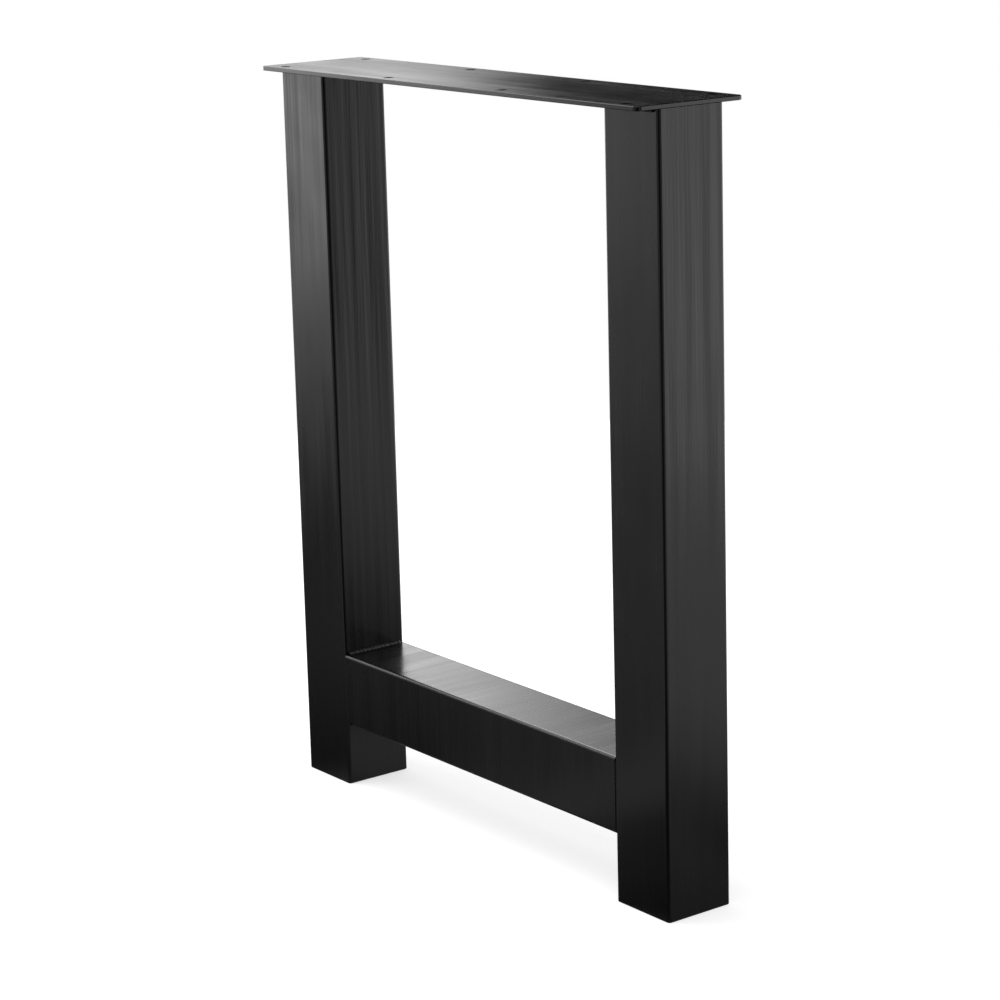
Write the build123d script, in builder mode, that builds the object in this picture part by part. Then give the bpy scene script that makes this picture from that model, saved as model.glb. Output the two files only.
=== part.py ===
"""Welded H-shaped table leg of square steel tube, with a drilled mounting plate and two foot plugs.

Millimetres, +Z up. The origin is on the floor, midway between the feet. X runs along the frame, from
the left upright to the right one, and the front is towards -Y.
"""

import os

from build123d import *

os.makedirs("parts", exist_ok=True)

# Whole frame
frame_height = 700.0  # floor to the face that the table top lies on
frame_length = 550.0  # over the outer faces of both uprights, and the length of the plate
stretcher_height = 62.0  # floor to the underside of the stretcher

# Square tube of the uprights and the stretcher
tube_side = 70.0
tube_wall = 2.0
tube_corner = 3.0  # outer corner radius

# Mounting plate
plate_thickness = 4.0
plate_corner = 5.0
plate_edge = 0.5  # bevel of the plate's rims

# Screw holes, in a row in front of the uprights and a row behind them
hole_diameter = 9.0
hole_face_gap = 11.0  # face of the uprights to the middle of a hole
hole_edge_inset = 11.5  # middle of a hole to the long edge of the plate
hole_end_inset = 25.0  # end of the plate to the middle of the outer holes
holes_per_row = 4

# Weld beads
fillet_leg = 4.0
fillet_crown = 0.5  # how far the middle of a bead stands out past its flat
seam_sink = 0.4  # depth of the ground seams below the faces that they join

# Foot plug, a moulded insert that closes the bottom of an upright
sole_thickness = 1.5
sole_edge = 0.6  # bevel of the edge that meets the floor
plug_depth = 26.0  # how far the plug reaches up into the tube
plug_wall = 2.2
plug_corner = 3.0  # corner radius of the plug's box
plug_floor = 2.0  # inside floor of the plug above its sole
plug_clearance = 0.1  # tips of the fins to the inner walls of the tube
plug_lead_in = 1.6  # bevel that guides the plug into the tube
fin_reach = 1.8  # how far a fin stands out of the plug's wall
fin_height = 2.4
fin_tip = 0.5  # flat at the tip of a fin, below the slope that lets it slide in
fin_count = 4  # fins on each side of the plug
rib_thickness = 1.6  # crossed ribs inside the plug
rib_drop = 5.0  # rim of the plug down to the top of its ribs

# Places that follow from the sizes above
tube_half = tube_side / 2
tube_inside = tube_side - 2 * tube_wall
inside_corner = max(tube_corner - tube_wall, 0.2)
upright_centre = (frame_length - tube_side) / 2
inner_face = upright_centre - tube_half
stretcher_top = stretcher_height + tube_side
plate_underside = frame_height - plate_thickness
plate_depth = tube_side + 2 * (hole_face_gap + hole_edge_inset)
fin_side = tube_inside - 2 * plug_clearance
plug_side = fin_side - 2 * fin_reach


def draw_tube_wall():
    """Add the section of the square tube to the sketch that is open."""
    RectangleRounded(tube_side, tube_side, tube_corner)
    RectangleRounded(tube_inside, tube_inside, inside_corner, mode=Mode.SUBTRACT)


def fillet_section(place):
    """Section of a fillet bead, with its root at the plane's origin and its legs along the plane's axes."""
    crown = fillet_leg / 2 + fillet_crown / 2**0.5
    with BuildSketch(place) as section:
        with BuildLine():
            Polyline((0, fillet_leg), (0, 0), (fillet_leg, 0))
            ThreePointArc((fillet_leg, 0), (crown, crown), (0, fillet_leg))
        make_face()
    return section.sketch


def make_plate():
    """Flat bar with rounded corners, bevelled rims and two rows of plain holes."""
    hole_spacing = (frame_length - 2 * hole_end_inset) / (holes_per_row - 1)
    row_spacing = plate_depth - 2 * hole_edge_inset
    with BuildPart() as plate:
        with BuildSketch(Plane.XY.offset(plate_underside)):
            RectangleRounded(frame_length, plate_depth, plate_corner)
        extrude(amount=plate_thickness)
        rims = plate.faces().filter_by(Axis.Z).edges()
        chamfer(rims, length=min(plate_edge, plate_thickness / 2.5))
        with BuildSketch(Plane.XY.offset(plate_underside)):
            with GridLocations(hole_spacing, row_spacing, holes_per_row, 2):
                Circle(hole_diameter / 2)
        extrude(amount=plate_thickness, mode=Mode.SUBTRACT)
    return plate


def make_upright():
    """Left upright, a square tube from the sole of its foot plug to the underside of the plate."""
    with BuildPart() as upright:
        with BuildSketch(Plane((-upright_centre, 0, sole_thickness))):
            draw_tube_wall()
        extrude(amount=plate_underside - sole_thickness)
    return upright


def make_stretcher():
    """Square tube cut square to stand between the inner faces of the uprights."""
    centre = (0, 0, stretcher_height + tube_half)
    with BuildPart() as stretcher:
        with BuildSketch(Plane(origin=centre, x_dir=(0, 1, 0), z_dir=(1, 0, 0))):
            draw_tube_wall()
        extrude(amount=inner_face, both=True)
    return stretcher


def make_plate_weld():
    """Bead round the front, inner side and back of the left upright, with its two ends rounded off."""
    end = tube_corner + fillet_leg - frame_length / 2
    height = plate_underside
    front_end = (end, -tube_half, height)
    back_end = (end, tube_half, height)
    front_section = fillet_section(Plane(front_end, x_dir=(0, -1, 0), z_dir=(1, 0, 0)))
    back_section = fillet_section(Plane(back_end, x_dir=(0, 1, 0), z_dir=(-1, 0, 0)))
    with BuildPart() as weld:
        with BuildLine():
            corners = [(-inner_face, -tube_half, height), (-inner_face, tube_half, height)]
            FilletPolyline(front_end, *corners, back_end, radius=tube_corner)
        sweep(front_section)
        revolve(front_section, axis=Axis(front_end, (0, 0, -1)), revolution_arc=90)
        revolve(back_section, axis=Axis(back_end, (0, 0, 1)), revolution_arc=90)
    return weld


def make_stretcher_weld():
    """Beads above and below the stretcher at the left upright, and ground seams at its front and back."""
    run = tube_half - tube_corner - fillet_leg
    seam_length = tube_side - 2 * tube_corner
    with BuildPart() as weld:
        for height, up in ((stretcher_top, 1), (stretcher_height, -1)):
            root = Plane((-inner_face, 0, height), x_dir=(1, 0, 0), z_dir=(0, -up, 0))
            extrude(fillet_section(root), amount=run, both=True)
            for end in (-1, 1):
                stop = (-inner_face, end * run, height)
                stop_section = fillet_section(Plane(stop, x_dir=root.x_dir, z_dir=root.z_dir))
                revolve(stop_section, axis=Axis(stop, (0, 0, end)), revolution_arc=90)
        for face in (-1, 1):
            corner_middle = (-inner_face - tube_corner, face * (tube_half - tube_corner))
            seam_middle = face * (tube_half - (tube_corner + seam_sink) / 2)
            with BuildSketch(Plane.XY.offset(stretcher_height + tube_corner)):
                with Locations((-inner_face - tube_corner / 2, seam_middle)):
                    Rectangle(tube_corner, tube_corner - seam_sink)
                with Locations(corner_middle):
                    Circle(tube_corner, mode=Mode.SUBTRACT)
            extrude(amount=seam_length)
    return weld


def make_fin_comb():
    """Row of saw-toothed fins on a common root, for the side of a plug that stands at the origin."""
    fin_pitch = (plug_depth - plug_lead_in) / fin_count
    wall = plug_side / 2
    root = wall - plug_wall / 2
    outline = [(root, sole_thickness)]
    for level in range(fin_count):
        top = sole_thickness + (level + 1) * fin_pitch
        foot = top - fin_height
        outline += [(wall, foot), (wall + fin_reach, foot), (wall + fin_reach, foot + fin_tip), (wall, top)]
    outline.append((root, outline[-1][1]))
    with BuildPart() as comb:
        with BuildSketch(Plane.XZ):
            with BuildLine():
                Polyline(*outline, close=True)
            make_face()
        extrude(amount=plug_side / 2 - plug_corner, both=True)
    return comb


def make_foot_plug():
    """Plug of the left upright: a sole as wide as the tube under a finned, ribbed box that grips inside it."""
    comb = make_fin_comb()
    pocket_side = plug_side - 2 * plug_wall
    rib_length = plug_side - plug_wall
    ground = Plane((-upright_centre, 0, 0))
    with BuildPart() as plug:
        with BuildSketch(ground):
            RectangleRounded(tube_side, tube_side, tube_corner)
        extrude(amount=sole_thickness)
        chamfer(plug.edges().group_by(Axis.Z)[0], length=min(sole_edge, sole_thickness / 2))
        with BuildSketch(ground.offset(sole_thickness)):
            RectangleRounded(plug_side, plug_side, plug_corner)
        extrude(amount=plug_depth)
        rim = plug.faces().sort_by(Axis.Z)[-1].edges()
        chamfer(rim, length=min(plug_lead_in, 0.8 * plug_wall))
        with Locations((-upright_centre, 0)):
            with PolarLocations(0, 4):
                add(comb.part)
        with BuildSketch(ground.offset(sole_thickness + plug_floor)):
            RectangleRounded(pocket_side, pocket_side, max(plug_corner - plug_wall, 0.2))
        extrude(amount=plug_depth, mode=Mode.SUBTRACT)
        with BuildSketch(ground.offset(sole_thickness)):
            Rectangle(rib_length, rib_thickness)
            Rectangle(rib_thickness, rib_length)
        extrude(amount=plug_depth - rib_drop)
    return plug


def make_twin(piece):
    """Mirror a piece of the left upright to the right one."""
    with BuildPart() as twin:
        mirror(piece.part, about=Plane.YZ)
    return twin


pieces = {"top_plate": make_plate(), "stretcher": make_stretcher()}
left_pieces = {
    "upright": make_upright(),
    "foot_plug": make_foot_plug(),
    "plate_weld": make_plate_weld(),
    "stretcher_weld": make_stretcher_weld(),
}
for name, piece in left_pieces.items():
    pieces[f"left_{name}"] = piece
    pieces[f"right_{name}"] = make_twin(piece)

for name, piece in pieces.items():
    piece.part.label = name
    export_step(piece.part, f"parts/{name}.step")
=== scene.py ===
"""Looks of the H-shaped table leg: black powder coat on square tube and plate, rippled weld beads and
moulded foot plugs, in a pale studio. Metres, +Z up, the front towards -Y.
"""

import math

import bpy
from mathutils import Euler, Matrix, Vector


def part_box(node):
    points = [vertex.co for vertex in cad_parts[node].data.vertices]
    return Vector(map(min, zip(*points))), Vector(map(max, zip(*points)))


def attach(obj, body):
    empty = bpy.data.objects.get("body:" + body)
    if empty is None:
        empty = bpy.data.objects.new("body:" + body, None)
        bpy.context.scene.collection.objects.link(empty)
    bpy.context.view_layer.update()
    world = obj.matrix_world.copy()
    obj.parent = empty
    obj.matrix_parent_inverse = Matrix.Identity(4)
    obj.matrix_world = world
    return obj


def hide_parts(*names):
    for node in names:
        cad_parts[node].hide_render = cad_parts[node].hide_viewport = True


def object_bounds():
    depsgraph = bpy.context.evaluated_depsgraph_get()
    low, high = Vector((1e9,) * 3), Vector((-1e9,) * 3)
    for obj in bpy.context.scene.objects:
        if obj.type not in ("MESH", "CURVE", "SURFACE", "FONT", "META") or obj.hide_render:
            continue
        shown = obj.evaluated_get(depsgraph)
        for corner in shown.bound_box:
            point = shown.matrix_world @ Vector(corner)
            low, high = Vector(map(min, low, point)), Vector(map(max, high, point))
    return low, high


bl_info = {
    "name": "H-Shaped Table Leg",
    "version": (1, 0, 0),
    "blender": (4, 5, 0),
    "location": "View3D > Sidebar > Table Leg",
    "description": "Coats, welds and lights a welded table leg of square tube",
    "category": "Object",
}

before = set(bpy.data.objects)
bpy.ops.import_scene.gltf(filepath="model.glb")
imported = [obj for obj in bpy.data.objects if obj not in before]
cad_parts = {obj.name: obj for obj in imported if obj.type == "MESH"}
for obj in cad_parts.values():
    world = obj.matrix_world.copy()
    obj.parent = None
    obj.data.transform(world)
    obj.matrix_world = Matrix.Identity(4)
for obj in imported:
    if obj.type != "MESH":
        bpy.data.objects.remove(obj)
cad_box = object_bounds()

MM = 0.001
DEGREES = 180 / math.pi  # in one radian
WHITE = (1.0, 1.0, 1.0, 1.0)


def linear(code):
    """Linear colour, with alpha, of an sRGB hex code."""
    parts = [int(code[start : start + 2], 16) / 255 for start in (1, 3, 5)]
    levels = [part / 12.92 if part <= 0.04045 else ((part + 0.055) / 1.055) ** 2.4 for part in parts]
    return (*levels, 1.0)


def add_node(tree, kind, sockets=None, **settings):
    """Add a node with its settings, and fill or link its inputs, which are named or numbered."""
    node = tree.nodes.new(kind)
    for name, value in settings.items():
        setattr(node, name, value)
    for key, value in (sockets or {}).items():
        if isinstance(value, bpy.types.NodeSocket):
            tree.links.new(value, node.inputs[key])
        else:
            node.inputs[key].default_value = value
    return node


# Settings


class LegCoatSettings(bpy.types.PropertyGroup):
    """Powder coat on the tubes, the plate and the welds."""

    colour: bpy.props.FloatVectorProperty(
        name="Coat colour",
        description="Jet black of the powder coat",
        subtype="COLOR",
        size=4,
        min=0,
        max=1,
        default=linear("#0B0B0C"),
    )
    thin_colour: bpy.props.FloatVectorProperty(
        name="Thin coat colour",
        description="Shade that the coat takes over the high lines of the metal, where it is thin",
        subtype="COLOR",
        size=4,
        min=0,
        max=1,
        default=linear("#111112"),
    )
    tube_roughness: bpy.props.FloatProperty(
        name="Tube roughness",
        description="Satin finish of the coat on the uprights",
        min=0,
        max=1,
        default=0.22,
    )
    ground_roughness: bpy.props.FloatProperty(
        name="Ground roughness",
        description="Finish of the coat on the stretcher, duller because its steel was ground across",
        min=0,
        max=1,
        default=0.27,
    )
    plate_roughness: bpy.props.FloatProperty(
        name="Plate roughness",
        description="Finish of the coat on the plate, which is smoother because the plate is rolled flat",
        min=0,
        max=1,
        default=0.16,
    )
    peel_size: bpy.props.FloatProperty(
        name="Orange peel size",
        description="Distance between the low bumps that a baked powder coat flows into",
        unit="LENGTH",
        min=0.0001,
        default=2.2 * MM,
    )
    peel_depth: bpy.props.FloatProperty(
        name="Orange peel depth",
        description="Height of the low bumps",
        unit="LENGTH",
        min=0,
        default=0.02 * MM,
    )
    streak_width: bpy.props.FloatProperty(
        name="Streak width",
        description="Distance between the lines that drawing and grinding leave under the coat",
        unit="LENGTH",
        min=0.0001,
        default=2.4 * MM,
    )
    streak_depth: bpy.props.FloatProperty(
        name="Streak depth",
        description="Depth of those lines",
        unit="LENGTH",
        min=0,
        default=0.02 * MM,
    )
    band_width: bpy.props.FloatProperty(
        name="Band width",
        description="Distance between the broad flats that rollers leave along a tube or a plate",
        unit="LENGTH",
        min=0.001,
        default=16 * MM,
    )
    band_depth: bpy.props.FloatProperty(
        name="Band depth",
        description="How far those flats are out of true",
        unit="LENGTH",
        min=0,
        default=0.12 * MM,
    )


class LegWeldSettings(bpy.types.PropertyGroup):
    """Rippled beads that join the tubes and the plate."""

    ripple_pitch: bpy.props.FloatProperty(
        name="Ripple pitch",
        description="Distance from one ripple of a bead to the next",
        unit="LENGTH",
        min=0.0005,
        default=1.8 * MM,
    )
    ripple_length: bpy.props.FloatProperty(
        name="Ripple length",
        description="Half the length of one ripple, most of which the next ones cover",
        unit="LENGTH",
        min=0.0005,
        default=3.0 * MM,
    )
    lean: bpy.props.FloatProperty(
        name="Lean",
        description="How far each ripple leans back along its bead",
        unit="ROTATION",
        min=0,
        max=1,
        default=0.4,
    )
    fillet_leg: bpy.props.FloatProperty(
        name="Fillet leg",
        description="How far a fillet bead reaches along each face that it joins",
        unit="LENGTH",
        min=0.001,
        default=3.8 * MM,
    )
    seam_radius: bpy.props.FloatProperty(
        name="Seam radius",
        description="Radius of the bead that fills the groove at the front and back of the stretcher",
        unit="LENGTH",
        min=0.0005,
        default=1.5 * MM,
    )
    unevenness: bpy.props.FloatProperty(
        name="Unevenness",
        description="How much the ripples differ in size",
        subtype="FACTOR",
        min=0,
        max=0.5,
        default=0.14,
    )
    seed: bpy.props.IntProperty(
        name="Seed",
        description="Fixed start of the random sizes",
        default=7,
    )


class LegFootSettings(bpy.types.PropertyGroup):
    """Moulded plugs in the bottom ends of the uprights."""

    colour: bpy.props.FloatVectorProperty(
        name="Plastic colour",
        description="Black of the moulded plastic",
        subtype="COLOR",
        size=4,
        min=0,
        max=1,
        default=linear("#111112"),
    )
    roughness: bpy.props.FloatProperty(
        name="Roughness",
        description="Matt finish that a spark-eroded mould leaves",
        min=0,
        max=1,
        default=0.5,
    )
    grain: bpy.props.FloatProperty(
        name="Mould grain",
        description="Distance between the grains of the moulded surface",
        unit="LENGTH",
        min=0.0001,
        default=1.0 * MM,
    )


class LegStageSettings(bpy.types.PropertyGroup):
    """Camera, floor and light."""

    floor_colour: bpy.props.FloatVectorProperty(
        name="Floor colour",
        description="Pale studio floor",
        subtype="COLOR",
        size=4,
        min=0,
        max=1,
        default=linear("#E9E9E9"),
    )
    floor_radius: bpy.props.FloatProperty(
        name="Floor radius",
        description="Reach of the floor round the leg",
        unit="LENGTH",
        min=1,
        default=1.8,
    )
    key_power: bpy.props.FloatProperty(
        name="Key light power",
        description="Watts of the large soft light above and to the left",
        min=0,
        default=40,
    )
    ambient: bpy.props.FloatProperty(
        name="Ambient light",
        description="Even light that reaches the leg from the pale room",
        min=0,
        default=0.6,
    )


# Finishes

# Patterns of the coat: their sizes, how long lines are for their width, and how fine their noise is
DRIFT_SIZE = 90 * MM
STREAK_STRETCH = 60
BAND_STRETCH = 25
PEEL_DETAIL = 1.5
DRIFT_DETAIL = 2.0
STREAK_DETAIL = 3.0
BAND_DETAIL = 1.0
LINE_ROUGHNESS = 0.6  # weight of each finer layer of a line's noise against the one before it
# How far each of them swings the roughness
DRIFT_SWING = 0.02
STREAK_SWING = 0.04
BAND_SWING = 0.03
NOISE_RANGE = {"From Min": 0.3, "From Max": 0.7}  # where nearly all of a noise lies
THIN_RANGE = {"From Min": 0.4, "From Max": 0.62}  # heights over which the coat goes from full to thin

# How deep the lines are along each axis, for the depths in the settings
UPRIGHT_LINES = {"X": 0.35, "Y": 3.6}  # the sides that face along the frame are the less flat ones
STRETCHER_LINES = {"X": 1.0}
PLATE_LINES = {"Y": 0.6}
BEAD_LINES = {"Z": 0.2}
BEAD_PEEL = 1.5  # depth of the orange peel on a bead, for its depth on a tube

GRAIN_DEPTH = 0.04 * MM  # height of the mould grain
FLOW_SIZE = 1 / 60  # some 17 mm, over which the plastic varies as it flowed into its mould
FLOW_DETAIL = 2.0
FLOW_SWING = 0.06
PALE_GAIN = 1.6  # the palest shade is the plain colour times this, plus PALE_LIFT
PALE_LIFT = 0.001


def new_material(name):
    """Material with nothing in its tree but the output and a Principled shader."""
    material = bpy.data.materials.new(name)
    material.use_nodes = True
    tree = material.node_tree
    tree.nodes.clear()
    shader = add_node(tree, "ShaderNodeBsdfPrincipled")
    add_node(tree, "ShaderNodeOutputMaterial", {"Surface": shader.outputs[0]})
    return material, tree, shader


def metal_lines(tree, place, axis, width, stretch, detail):
    """Noise drawn out into lines that are width apart along an axis, and stretch times as long."""
    squeeze = [1 / width if name == axis else 1 / (width * stretch) for name in "XYZ"]
    stretched = add_node(tree, "ShaderNodeMapping", {"Vector": place, "Scale": squeeze}).outputs[0]
    sockets = {"Vector": stretched, "Scale": 1.0, "Detail": detail, "Roughness": LINE_ROUGHNESS}
    return add_node(tree, "ShaderNodeTexNoise", sockets).outputs[0]


def powder_coat(name, settings, roughness, across, peel_depth=1.0):
    """Polyester powder coat, sprayed and baked over mild steel: a deep black satin skin. Its low orange peel
    breaks up the edges of reflections. The steel under it was drawn or ground, which shows as faint streaks
    and as broad bands in which a reflection wavers. They lie side by side along each axis in across, which
    gives how deep they are there."""
    material, tree, shader = new_material(name)
    place = add_node(tree, "ShaderNodeTexCoord").outputs["Object"]
    sockets = {"Vector": place, "Scale": 1 / settings.peel_size, "Detail": PEEL_DETAIL}
    peel = add_node(tree, "ShaderNodeTexNoise", sockets).outputs[0]
    # Thickness of the coat drifts slowly, as the spray gun passes
    sockets = {"Vector": place, "Scale": 1 / DRIFT_SIZE, "Detail": DRIFT_DETAIL}
    drift = add_node(tree, "ShaderNodeTexNoise", sockets).outputs[0]
    uneven = [(drift, DRIFT_SWING)]
    relief = [(peel, settings.peel_depth * peel_depth)]
    high = 0.0
    for axis, depth in across.items():
        # Streaks are some 0.2 mm apart on the real metal. They are drawn about ten times as wide, or a
        # render at a millimetre to the pixel would lose them.
        streaks = metal_lines(tree, place, axis, settings.streak_width, STREAK_STRETCH, STREAK_DETAIL)
        bands = metal_lines(tree, place, axis, settings.band_width, BAND_STRETCH, BAND_DETAIL)
        uneven += [(streaks, STREAK_SWING), (bands, BAND_SWING)]
        relief += [(bands, settings.band_depth * depth), (streaks, settings.streak_depth * depth)]
        both = add_node(tree, "ShaderNodeMath", {0: streaks, 1: bands}, operation="ADD").outputs[0]
        high = add_node(tree, "ShaderNodeMath", {0: both, 1: high}, operation="ADD").outputs[0]
    rough = roughness
    for pattern, swing in uneven:
        sockets = {"Value": pattern, **NOISE_RANGE, "To Min": -swing, "To Max": swing}
        change = add_node(tree, "ShaderNodeMapRange", sockets).outputs[0]
        rough = add_node(tree, "ShaderNodeMath", {0: change, 1: rough}, operation="ADD").outputs[0]
    tree.links.new(rough, shader.inputs["Roughness"])
    # Over the high lines the coat is thin, and turns a shade greyer
    mean = add_node(tree, "ShaderNodeMath", {0: high, 1: 2.0 * len(across)}, operation="DIVIDE").outputs[0]
    thin = add_node(tree, "ShaderNodeMapRange", {"Value": mean, **THIN_RANGE}).outputs[0]
    shades = {0: thin, 6: settings.colour, 7: settings.thin_colour}
    colour = add_node(tree, "ShaderNodeMix", shades, data_type="RGBA").outputs[2]
    tree.links.new(colour, shader.inputs["Base Color"])
    normal = None
    for pattern, depth in relief:
        sockets = {"Height": pattern, "Strength": 1.0, "Distance": depth}
        if normal:
            sockets["Normal"] = normal
        normal = add_node(tree, "ShaderNodeBump", sockets).outputs[0]
    tree.links.new(normal, shader.inputs["Normal"])
    return material


def moulded_plastic(name, settings):
    """Injection-moulded black polypropylene: matt and a little soft, with the fine grain of its mould."""
    material, tree, shader = new_material(name)
    place = add_node(tree, "ShaderNodeTexCoord").outputs["Object"]
    # Mould grain is about 0.1 mm on the real plug, and drawn at 1 mm so that a close view shows it
    sockets = {"Vector": place, "Scale": 1 / settings.grain}
    grain = add_node(tree, "ShaderNodeTexVoronoi", sockets, feature="F1").outputs["Distance"]
    sockets = {"Vector": place, "Scale": 1 / FLOW_SIZE, "Detail": FLOW_DETAIL}
    flow = add_node(tree, "ShaderNodeTexNoise", sockets).outputs[0]
    sockets = {"Value": flow, **NOISE_RANGE}
    sockets["To Min"] = settings.roughness - FLOW_SWING
    sockets["To Max"] = settings.roughness + FLOW_SWING
    rough = add_node(tree, "ShaderNodeMapRange", sockets).outputs[0]
    tree.links.new(rough, shader.inputs["Roughness"])
    pale = tuple(part * PALE_GAIN + PALE_LIFT for part in settings.colour[:3]) + (1.0,)
    shades = {0: flow, 6: settings.colour, 7: pale}
    colour = add_node(tree, "ShaderNodeMix", shades, data_type="RGBA").outputs[2]
    tree.links.new(colour, shader.inputs["Base Color"])
    sockets = {"Height": grain, "Strength": 1.0, "Distance": GRAIN_DEPTH}
    bump = add_node(tree, "ShaderNodeBump", sockets).outputs[0]
    tree.links.new(bump, shader.inputs["Normal"])
    return material


def dress(node_name, material):
    """Give a packed CAD node its finish."""
    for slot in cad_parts[node_name].material_slots:
        slot.material = material


# Weld beads

# Sizes of a ripple as shares of its fillet's leg
WIDTH_SHARE = 0.8  # half of its width across the corner
RISE_SHARE = 0.36  # half of its height out of the corner
MIDDLE_SHARE = 0.46  # from the root of the corner to its middle
END_SHARE = 0.82  # leg at the ends of a bead, as a share of the whole leg
RIPPLE_DETAIL = 2  # rounds of subdivision of a ripple's ball, which give it 80 faces

TUBE_SIDE = 70.0 * MM
TUBE_CORNER = 3.0 * MM  # outer corner radius of the tubes
QUARTER_TURN = 90  # degrees
CORNER_STEPS = 4  # steps of a bead round a quarter turn
PLATE_BEAD_END = 8.0 * MM  # end of a bead under the plate to the outer face of its upright
CROSS_BEAD_INSET = 6.0 * MM  # end of a bead above or below the stretcher to the front or back
SEAM_INSET = 4.0 * MM  # end of a seam to the top or underside of the stretcher
SEAM_SETBACK = 1.2 * MM  # middle of a seam into the rounded corner of the upright
SEAM_SINK = 0.35 * MM  # how deep the ground seams lie below the faces that they join


def ripple_tree():
    """Tree that lays overlapping ripples along a path. The path's points carry the direction in which the
    bead faces, as outward, and half a ripple's width and height, as girth."""
    tree = bpy.data.node_groups.new("weld_ripples", "GeometryNodeTree")
    face = tree.interface
    face.new_socket("Path", in_out="INPUT", socket_type="NodeSocketGeometry")
    for name in ("Pitch", "Ripple Length", "Unevenness", "Lean"):
        face.new_socket(name, in_out="INPUT", socket_type="NodeSocketFloat")
    face.new_socket("Seed", in_out="INPUT", socket_type="NodeSocketInt")
    face.new_socket("Material", in_out="INPUT", socket_type="NodeSocketMaterial")
    face.new_socket("Bead", in_out="OUTPUT", socket_type="NodeSocketGeometry")
    inputs = add_node(tree, "NodeGroupInput").outputs
    path = add_node(tree, "GeometryNodeMeshToCurve", {"Mesh": inputs["Path"]}).outputs[0]
    sockets = {"Curve": path, "Length": inputs["Pitch"]}
    stations = add_node(tree, "GeometryNodeResampleCurve", sockets, mode="LENGTH").outputs[0]
    outward, girth = [
        add_node(
            tree, "GeometryNodeInputNamedAttribute", {"Name": name}, data_type="FLOAT_VECTOR"
        ).outputs[0]
        for name in ("outward", "girth")
    ]
    tangent = add_node(tree, "GeometryNodeInputTangent").outputs[0]
    facing = add_node(
        tree,
        "FunctionNodeAxesToRotation",
        {"Primary Axis": tangent, "Secondary Axis": outward},
        primary_axis="X",
        secondary_axis="Z",
    ).outputs[0]
    lean = add_node(tree, "ShaderNodeCombineXYZ", {"Y": inputs["Lean"]}).outputs[0]
    sockets = {"Rotation": facing, "Rotate By": lean}
    turned = add_node(tree, "FunctionNodeRotateRotation", sockets, rotation_space="LOCAL").outputs[0]
    sockets = {0: 1.0, 1: inputs["Unevenness"]}
    least = add_node(tree, "ShaderNodeMath", sockets, operation="SUBTRACT").outputs[0]
    sockets = {2: least, 3: 1.0, "Seed": inputs["Seed"]}
    spread = add_node(tree, "FunctionNodeRandomValue", sockets, data_type="FLOAT").outputs[1]
    halves = add_node(tree, "ShaderNodeSeparateXYZ", {0: girth}).outputs
    sockets = {"X": inputs["Ripple Length"], "Y": halves[0], "Z": halves[1]}
    shape = add_node(tree, "ShaderNodeCombineXYZ", sockets).outputs[0]
    sockets = {0: shape, "Scale": spread}
    varied = add_node(tree, "ShaderNodeVectorMath", sockets, operation="SCALE").outputs[0]
    sockets = {"Radius": 1.0, "Subdivisions": RIPPLE_DETAIL}
    ball = add_node(tree, "GeometryNodeMeshIcoSphere", sockets).outputs[0]
    sockets = {"Points": stations, "Instance": ball, "Rotation": turned, "Scale": varied}
    ripples = add_node(tree, "GeometryNodeInstanceOnPoints", sockets).outputs[0]
    whole = add_node(tree, "GeometryNodeRealizeInstances", {"Geometry": ripples}).outputs[0]
    smooth = add_node(tree, "GeometryNodeSetShadeSmooth", {"Geometry": whole}).outputs[0]
    sockets = {"Geometry": smooth, "Material": inputs["Material"]}
    coated = add_node(tree, "GeometryNodeSetMaterial", sockets).outputs[0]
    add_node(tree, "NodeGroupOutput", {0: coated})
    return tree


def fillet_run(corners, outwards, settings):
    """Points of a fillet bead's middle: place, direction in which the bead faces, and half sizes across and
    out of the corner. The root of the bead runs through corners."""
    last = len(corners) - 1
    run = []
    for index, (corner, outward) in enumerate(zip(corners, outwards)):
        outward = Vector(outward).normalized()
        leg = settings.fillet_leg * (END_SHARE if index in (0, last) else 1.0)
        middle = Vector(corner) + leg * MIDDLE_SHARE * outward
        run.append((middle, outward, (leg * WIDTH_SHARE, leg * RISE_SHARE, 0)))
    return run


def bead_mesh(name, runs, settings, tree, material):
    """Lay ripples along the runs and return them as one plain object."""
    mesh = bpy.data.meshes.new(name)
    points = [point for run in runs for point in run]
    edges = []
    start = 0
    for run in runs:
        edges += [(here, here + 1) for here in range(start, start + len(run) - 1)]
        start += len(run)
    mesh.from_pydata([point[0] for point in points], edges, [])
    for attribute, index in (("outward", 1), ("girth", 2)):
        layer = mesh.attributes.new(attribute, "FLOAT_VECTOR", "POINT")
        for item, point in zip(layer.data, points):
            item.vector = point[index]
    guide = bpy.data.objects.new(name + "_path", mesh)
    bpy.context.scene.collection.objects.link(guide)
    modifier = guide.modifiers.new("ripples", "NODES")
    modifier.node_group = tree
    values = {
        "Pitch": settings.ripple_pitch,
        "Ripple Length": settings.ripple_length,
        "Unevenness": settings.unevenness,
        "Lean": settings.lean,
        "Seed": settings.seed,
        "Material": material,
    }
    for item in tree.interface.items_tree:
        if item.item_type == "SOCKET" and item.in_out == "INPUT" and item.name in values:
            modifier[item.identifier] = values[item.name]
    solid = bpy.data.meshes.new_from_object(guide.evaluated_get(bpy.context.evaluated_depsgraph_get()))
    bpy.data.objects.remove(guide)
    piece = bpy.data.objects.new(name, solid)
    bpy.context.scene.collection.objects.link(piece)
    return piece


# Operators


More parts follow.
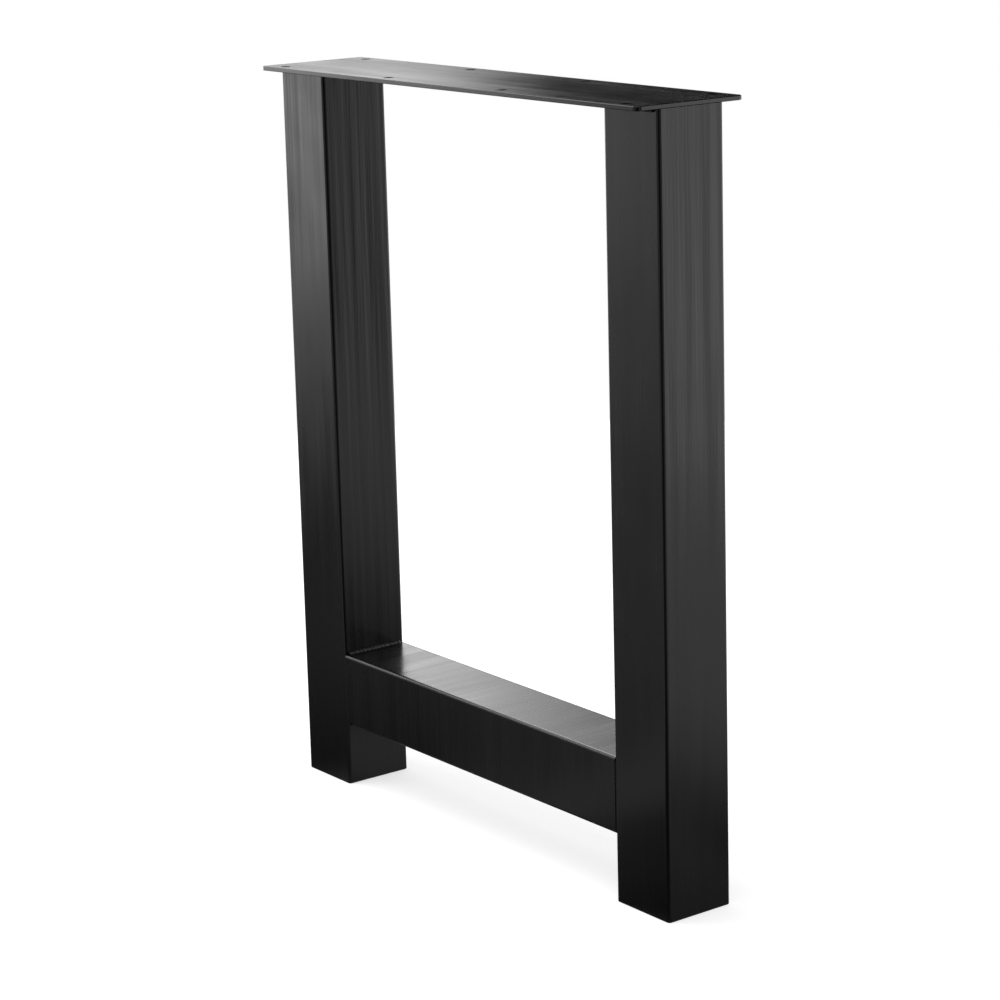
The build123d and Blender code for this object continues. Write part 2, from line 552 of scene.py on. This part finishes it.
class LEG_OT_coat_tubes(bpy.types.Operator):
    """Coat both uprights and the stretcher."""

    bl_idname = "leg.coat_tubes"
    bl_label = "Coat Tubes"

    def execute(self, context):
        settings = context.scene.leg_coat
        upright = powder_coat(
            "powder_coat_drawn_upright", settings, settings.tube_roughness, UPRIGHT_LINES
        )
        dress("left_upright", upright)
        dress("right_upright", upright)
        ground = powder_coat(
            "powder_coat_ground_stretcher", settings, settings.ground_roughness, STRETCHER_LINES
        )
        dress("stretcher", ground)
        return {"FINISHED"}


class LEG_OT_coat_plate(bpy.types.Operator):
    """Coat the mounting plate."""

    bl_idname = "leg.coat_plate"
    bl_label = "Coat Plate"

    def execute(self, context):
        settings = context.scene.leg_coat
        plate = powder_coat("powder_coat_rolled_plate", settings, settings.plate_roughness, PLATE_LINES)
        dress("top_plate", plate)
        return {"FINISHED"}


class LEG_OT_lay_welds(bpy.types.Operator):
    """Lay the weld beads under the plate and round the ends of the stretcher."""

    bl_idname = "leg.lay_welds"
    bl_label = "Lay Welds"

    def execute(self, context):
        settings = context.scene.leg_welds
        coat = context.scene.leg_coat
        tree = ripple_tree()
        material = powder_coat(
            "powder_coat_weld_bead", coat, coat.ground_roughness, BEAD_LINES, peel_depth=BEAD_PEEL
        )
        plate_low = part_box("top_plate")[0].z
        for side, sign in (("left", -1), ("right", 1)):
            low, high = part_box(f"{side}_upright")
            face = low.x if sign > 0 else high.x
            outer = high.x if sign > 0 else low.x
            corners, outwards = self.plate_run(face, outer, low.y, high.y, plate_low, sign)
            runs = [fillet_run(corners, outwards, settings)]
            piece = bead_mesh(f"{side}_plate_bead", runs, settings, tree, material)
            self.join(piece, f"{side}_plate_weld")
            runs = self.stretcher_runs(face, sign, settings)
            piece = bead_mesh(f"{side}_stretcher_bead", runs, settings, tree, material)
            self.join(piece, f"{side}_stretcher_weld")
        return {"FINISHED"}

    def plate_run(self, face, outer, front, back, height, sign):
        """Root of the bead under the plate: along the front of an upright, its inner side and its back."""
        radius = TUBE_CORNER
        end = outer - sign * PLATE_BEAD_END
        corners = [(end, front, height)]
        outwards = [(0, -1, -1)]
        for middle_y, start_angle in ((front + radius, 0), (back - radius, QUARTER_TURN)):
            for step in range(CORNER_STEPS + 1):
                angle = math.radians(start_angle + QUARTER_TURN * step / CORNER_STEPS)
                out_x = -sign * math.sin(angle)
                out_y = -math.cos(angle)
                corners.append((face + sign * radius + radius * out_x, middle_y + radius * out_y, height))
                outwards.append((out_x, out_y, -1))
        corners.append((end, back, height))
        outwards.append((0, 1, -1))
        return corners, outwards

    def stretcher_runs(self, face, sign, settings):
        """Beads above and below the stretcher, and the ground seams at its front and back."""
        low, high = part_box("stretcher")
        runs = []
        for height, up in ((high.z, 1), (low.z, -1)):
            stops = (low.y + CROSS_BEAD_INSET, 0.0, high.y - CROSS_BEAD_INSET)
            corners = [(face, y, height) for y in stops]
            runs.append(fillet_run(corners, [(-sign, 0, up)] * len(corners), settings))
        radius = settings.seam_radius
        for y, out in ((low.y, -1), (high.y, 1)):
            middle = Vector((face + sign * SEAM_SETBACK, y - out * (radius + SEAM_SINK), 0))
            run = []
            for z in (low.z + SEAM_INSET, (low.z + high.z) / 2, high.z - SEAM_INSET):
                run.append((middle + Vector((0, 0, z)), Vector((0, out, 0)), (radius, radius, 0)))
            runs.append(run)
        return runs

    def join(self, piece, node):
        """Let a bead ride with the frame in place of its plain CAD solid."""
        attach(piece, "root")
        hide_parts(node)


class LEG_OT_mould_feet(bpy.types.Operator):
    """Finish the foot plugs in moulded plastic."""

    bl_idname = "leg.mould_feet"
    bl_label = "Mould Feet"

    def execute(self, context):
        plastic = moulded_plastic("moulded_polypropylene_plug", context.scene.leg_feet)
        dress("left_foot_plug", plastic)
        dress("right_foot_plug", plastic)
        return {"FINISHED"}


# Stage

CAMERA_PLACE = (2.07503, -1.56650, 0.95535)
CAMERA_TURN = (77.1952, 1.4605, 52.5268)  # degrees
CAMERA_SENSOR = 36.0  # its width in millimetres
CAMERA_LENS = 105.815  # millimetres
CAMERA_SHIFT = -0.05  # sets the leg a little high in the frame, as the photograph does
KEY_PLACE = (-1.6, -1.0, 2.8)
KEY_AIM = (0.0, 0.0, 0.35)
KEY_SIZE = 2.4  # metres across
RIM_POINTS = 96  # corners of the round floor
FLOOR_LIFT = 0.6  # glow that makes the floor white to camera and transmission rays
CONTACT_REACH = 0.6  # how far from the leg its shadow is seen in reflections, in metres
CONTACT_DARK = 0.67  # and how dark it is at the feet
AZIMUTH_SEAM = -35.0  # degrees, behind the camera, where the room is dark
FULL_TURN = 360.0

# Edges that several panels share
ALL_ROUND = ((-99.0, -90.0), (400.0, 390.0))  # right and left edge of a panel that has no sides
AT_RIGHT = ((-12.0, -4.0), (24.0, 12.0))  # right and left edge of what lies to the right
FRONT_END = (290.0, 276.0)  # left edge of what lies in front
LEFT_END = (219.5, 214.5)  # left edge of what lies on the left
HIGH_FOOT = (2.5, 15.0)  # lower and upper edge of lights above the horizon
HIGH_TOP = (60.0, 45.0)
LOW_FOOT = (-40.0, -20.0)  # lower and upper edge of walls that go on below the horizon
LOW_TOP = (30.0, 12.0)
FROM_FEET = (-1.0, 0.0)  # inner edge of a glow that starts under the leg
TO_RIM = (9.0, 8.0)  # outer edge of a glow that goes on to the rim of the floor

# What reflections see of the room: for each panel its right, left, lower and upper edge, and its strength.
# An edge is the angle at which the panel starts and the one at which it is whole, in degrees. The right and
# left edges are azimuths, from +X towards +Y, and the others are elevations. The camera looks towards 143.
PANELS = (
    # Light wall behind the leg, seen in the tops of the stretcher and the plate
    (((141.4, 145.0), (175.0, 158.0), HIGH_FOOT, HIGH_TOP), 3.5),
    # Lamps high on the left, seen in the rounded upper edges
    (((190.0, 205.0), LEFT_END, HIGH_FOOT, HIGH_TOP), 2.6),
    (((158.0, 175.0), (205.0, 190.0), HIGH_FOOT, HIGH_TOP), 1.0),
    (((158.0, 175.0), (205.0, 190.0), (20.0, 30.0), HIGH_TOP), 1.3),
    # Upper part of the wall behind the leg, further to the right
    (((95.0, 110.0), (146.0, 143.0), (15.0, 26.0), HIGH_TOP), 1.8),
    # Pale ground far to the left, seen high up in the left upright's front and in the plate's front edge
    (((150.0, 165.0), LEFT_END, (-11.8, -5.3), (0.0, -7.5)), 4.1),
    # Ground in front to the left, seen in the right upright's front
    (((214.5, 219.5), (245.0, 232.0), (-24.0, -8.0), (14.0, 2.0)), 0.42),
    # Wall in front, seen in the fronts from straight ahead
    (((245.0, 250.0), FRONT_END, LOW_FOOT, LOW_TOP), 0.42),
    # Wall to the right and behind, seen in the right-hand sides and the backs
    (((26.0, 47.0), (100.0, 80.0), LOW_FOOT, (45.0, 25.0)), 1.85),
    # Wall to the right, seen in the right-hand sides from the right
    ((*AT_RIGHT, LOW_FOOT, LOW_TOP), 0.42),
    # Ceiling, seen from above
    ((*ALL_ROUND, (58.0, 74.0), (99.0, 95.0)), 1.0),
)
# The same for the floor, with distances from the middle of the leg in metres in place of elevations
FLOOR_GLOW = (
    # Behind to the right, seen in the inner side of the left upright and in the backs
    (((28.0, 56.0), (150.0, 120.0), (-0.3, 2.2), TO_RIM), 1.9),
    # Patch to the right, seen low down in the right-hand end
    (((14.0, 27.0), (39.0, 33.5), (0.1, 0.9), TO_RIM), 0.7),
    # Behind and to the left
    (((120.0, 150.0), (222.0, 212.0), FROM_FEET, TO_RIM), 0.11),
    # Between the feet, seen in the left foot's inner side
    (((100.0, 140.0), (205.0, 175.0), FROM_FEET, (0.3, 0.18)), 0.8),
    # Close to the feet, all round
    ((*ALL_ROUND, FROM_FEET, (0.3, 0.12)), 0.22),
    # In front to the left, in front, and to the right
    (((212.0, 222.0), (262.0, 245.0), FROM_FEET, TO_RIM), 0.22),
    (((245.0, 262.0), FRONT_END, FROM_FEET, TO_RIM), 0.42),
    ((*AT_RIGHT, FROM_FEET, TO_RIM), 0.42),
)
ROOM_DARK = 0.02  # strength between the panels


def find_azimuth(tree, parts):
    """Azimuth in degrees of a direction or a place, from AZIMUTH_SEAM to a full turn above it."""
    turn = add_node(tree, "ShaderNodeMath", {0: parts[1], 1: parts[0]}, operation="ARCTAN2").outputs[0]
    turn = add_node(tree, "ShaderNodeMath", {0: turn, 1: DEGREES}, operation="MULTIPLY").outputs[0]
    below = add_node(tree, "ShaderNodeMath", {0: turn, 1: AZIMUTH_SEAM}, operation="LESS_THAN").outputs[0]
    wrap = add_node(tree, "ShaderNodeMath", {0: below, 1: FULL_TURN}, operation="MULTIPLY").outputs[0]
    return add_node(tree, "ShaderNodeMath", {0: turn, 1: wrap}, operation="ADD").outputs[0]


def add_panels(tree, azimuth, height, panels):
    """Sum of the panels, over the dark of the room."""
    level = ROOM_DARK
    for edges, strength in panels:
        light = strength
        for value, (start, whole) in zip((azimuth, azimuth, height, height), edges):
            sockets = {"Value": value, "From Min": start, "From Max": whole}
            step = add_node(tree, "ShaderNodeMapRange", sockets, interpolation_type="SMOOTHSTEP").outputs[0]
            light = add_node(tree, "ShaderNodeMath", {0: step, 1: light}, operation="MULTIPLY").outputs[0]
        level = add_node(tree, "ShaderNodeMath", {0: light, 1: level}, operation="ADD").outputs[0]
    return level


def seen_directly(tree, rays):
    """1 for camera and transmission rays, and 0 for all others."""
    either = {0: rays["Is Camera Ray"], 1: rays["Is Transmission Ray"]}
    return add_node(tree, "ShaderNodeMath", either, operation="MAXIMUM").outputs[0]


class LEG_OT_set_stage(bpy.types.Operator):
    """Set the camera, the pale floor and the soft light."""

    bl_idname = "leg.set_stage"
    bl_label = "Set Stage"

    def execute(self, context):
        settings = context.scene.leg_stage
        self.aim_camera(context)
        self.lay_floor(context, settings)
        self.hang_key(context, settings)
        self.paint_room(context, settings)
        context.scene.view_settings.view_transform = "Standard"
        return {"FINISHED"}

    def aim_camera(self, context):
        """Camera at the angle of the photograph."""
        lens = bpy.data.cameras.new("camera")
        lens.sensor_width = CAMERA_SENSOR
        lens.lens = CAMERA_LENS
        lens.shift_y = CAMERA_SHIFT
        camera = bpy.data.objects.new("camera", lens)
        camera.location = CAMERA_PLACE
        camera.rotation_euler = Euler([math.radians(angle) for angle in CAMERA_TURN])
        context.scene.collection.objects.link(camera)
        context.scene.camera = camera

    def lay_floor(self, context, settings):
        """Round floor under the leg."""
        mesh = bpy.data.meshes.new("floor")
        reach = settings.floor_radius
        rim = []
        for point in range(RIM_POINTS):
            angle = 2 * math.pi * point / RIM_POINTS
            rim.append((reach * math.cos(angle), reach * math.sin(angle), 0.0))
        mesh.from_pydata(rim, [], [tuple(range(RIM_POINTS))])
        floor = bpy.data.objects.new("floor", mesh)
        context.scene.collection.objects.link(floor)
        mesh.materials.append(self.floor_paint(settings))

    def floor_paint(self, settings):
        """Matt wall paint. The camera sees it lifted to white, and reflections see the glow and the shadows
        that lie on a studio's floor."""
        material = bpy.data.materials.new("painted_studio_floor")
        material.use_nodes = True
        tree = material.node_tree
        tree.nodes.clear()
        rays = add_node(tree, "ShaderNodeLightPath").outputs
        paint = add_node(tree, "ShaderNodeBsdfDiffuse", {"Color": settings.floor_colour}).outputs[0]
        seen = seen_directly(tree, rays)
        lift = add_node(tree, "ShaderNodeMath", {0: seen, 1: FLOOR_LIFT}, operation="MULTIPLY").outputs[0]
        glow = add_node(tree, "ShaderNodeEmission", {"Color": WHITE, "Strength": lift}).outputs[0]
        lifted = add_node(tree, "ShaderNodeAddShader", {0: paint, 1: glow}).outputs[0]
        place = add_node(tree, "ShaderNodeTexCoord").outputs["Object"]
        parts = add_node(tree, "ShaderNodeSeparateXYZ", {0: place}).outputs
        reach = add_node(tree, "ShaderNodeVectorMath", {0: place}, operation="LENGTH").outputs["Value"]
        level = add_panels(tree, find_azimuth(tree, parts), reach, FLOOR_GLOW)
        # Shadow beside the leg, which stands along X between the middles of its uprights
        leg_end = (cad_box[1][0] - cad_box[0][0] - TUBE_SIDE) / 2
        along = add_node(tree, "ShaderNodeMath", {0: parts[0]}, operation="ABSOLUTE").outputs[0]
        past = add_node(tree, "ShaderNodeMath", {0: along, 1: leg_end}, operation="SUBTRACT").outputs[0]
        beyond = add_node(tree, "ShaderNodeMath", {0: past, 1: 0.0}, operation="MAXIMUM").outputs[0]
        away = add_node(tree, "ShaderNodeCombineXYZ", {"X": beyond, "Y": parts[1]}).outputs[0]
        gap = add_node(tree, "ShaderNodeVectorMath", {0: away}, operation="LENGTH").outputs["Value"]
        sockets = {"Value": gap, "From Max": CONTACT_REACH, "To Min": 1 - CONTACT_DARK}
        clear = add_node(tree, "ShaderNodeMapRange", sockets, interpolation_type="SMOOTHSTEP").outputs[0]
        level = add_node(tree, "ShaderNodeMath", {0: level, 1: clear}, operation="MULTIPLY").outputs[0]
        mirrored = add_node(tree, "ShaderNodeEmission", {"Color": WHITE, "Strength": level}).outputs[0]
        sides = {0: rays["Is Glossy Ray"], 1: lifted, 2: mirrored}
        mixed = add_node(tree, "ShaderNodeMixShader", sides).outputs[0]
        add_node(tree, "ShaderNodeOutputMaterial", {"Surface": mixed})
        return material

    def hang_key(self, context, settings):
        """Large soft light, which reflections don't see."""
        light = bpy.data.lights.new("key_light", "AREA")
        light.shape = "SQUARE"
        light.size = KEY_SIZE
        light.energy = settings.key_power
        lamp = bpy.data.objects.new("key_light", light)
        lamp.location = KEY_PLACE
        lamp.rotation_euler = (Vector(KEY_AIM) - Vector(KEY_PLACE)).to_track_quat("-Z", "Y").to_euler()
        lamp.visible_camera = False
        lamp.visible_glossy = False
        context.scene.collection.objects.link(lamp)

    def paint_room(self, context, settings):
        """White backdrop for the camera, panels for reflections and even light for all else."""
        world = bpy.data.worlds.new("studio")
        world.use_nodes = True
        tree = world.node_tree
        tree.nodes.clear()
        context.scene.world = world
        rays = add_node(tree, "ShaderNodeLightPath").outputs
        way = add_node(tree, "ShaderNodeTexCoord").outputs["Generated"]
        parts = add_node(tree, "ShaderNodeSeparateXYZ", {0: way}).outputs
        rise = add_node(tree, "ShaderNodeMath", {0: parts[2]}, operation="ARCSINE").outputs[0]
        elevation = add_node(tree, "ShaderNodeMath", {0: rise, 1: DEGREES}, operation="MULTIPLY").outputs[0]
        level = add_panels(tree, find_azimuth(tree, parts), elevation, PANELS)
        even, panels, backdrop = [
            add_node(tree, "ShaderNodeBackground", {"Color": WHITE, "Strength": strength}).outputs[0]
            for strength in (settings.ambient, level, 1.0)
        ]
        sides = {0: rays["Is Glossy Ray"], 1: even, 2: panels}
        gloss = add_node(tree, "ShaderNodeMixShader", sides).outputs[0]
        seen = seen_directly(tree, rays)
        shown = add_node(tree, "ShaderNodeMixShader", {0: seen, 1: gloss, 2: backdrop}).outputs[0]
        add_node(tree, "ShaderNodeOutputWorld", {"Surface": shown})


OPERATORS = (
    LEG_OT_coat_tubes,
    LEG_OT_coat_plate,
    LEG_OT_lay_welds,
    LEG_OT_mould_feet,
    LEG_OT_set_stage,
)
SETTINGS = (
    ("leg_coat", LegCoatSettings),
    ("leg_welds", LegWeldSettings),
    ("leg_feet", LegFootSettings),
    ("leg_stage", LegStageSettings),
)


class LEG_PT_sidebar(bpy.types.Panel):
    """Settings and steps of the table leg."""

    bl_idname = "LEG_PT_sidebar"
    bl_label = "Table Leg"
    bl_space_type = "VIEW_3D"
    bl_region_type = "UI"
    bl_category = "Table Leg"

    def draw(self, context):
        for name, group in SETTINGS:
            box = self.layout.box()
            box.label(text=group.__doc__)
            for item in group.__annotations__:
                box.prop(getattr(context.scene, name), item)
        for operator in OPERATORS:
            self.layout.operator(operator.bl_idname)


def register():
    for name, group in SETTINGS:
        bpy.utils.register_class(group)
        setattr(bpy.types.Scene, name, bpy.props.PointerProperty(type=group))
    for kind in OPERATORS + (LEG_PT_sidebar,):
        bpy.utils.register_class(kind)


def unregister():
    for kind in reversed(OPERATORS + (LEG_PT_sidebar,)):
        bpy.utils.unregister_class(kind)
    for name, group in reversed(SETTINGS):
        delattr(bpy.types.Scene, name)
        bpy.utils.unregister_class(group)


def main():
    """Run every step in order."""
    register()
    bpy.ops.leg.coat_tubes()
    bpy.ops.leg.coat_plate()
    bpy.ops.leg.lay_welds()
    bpy.ops.leg.mould_feet()
    bpy.ops.leg.set_stage()


if __name__ == "__main__":
    main()
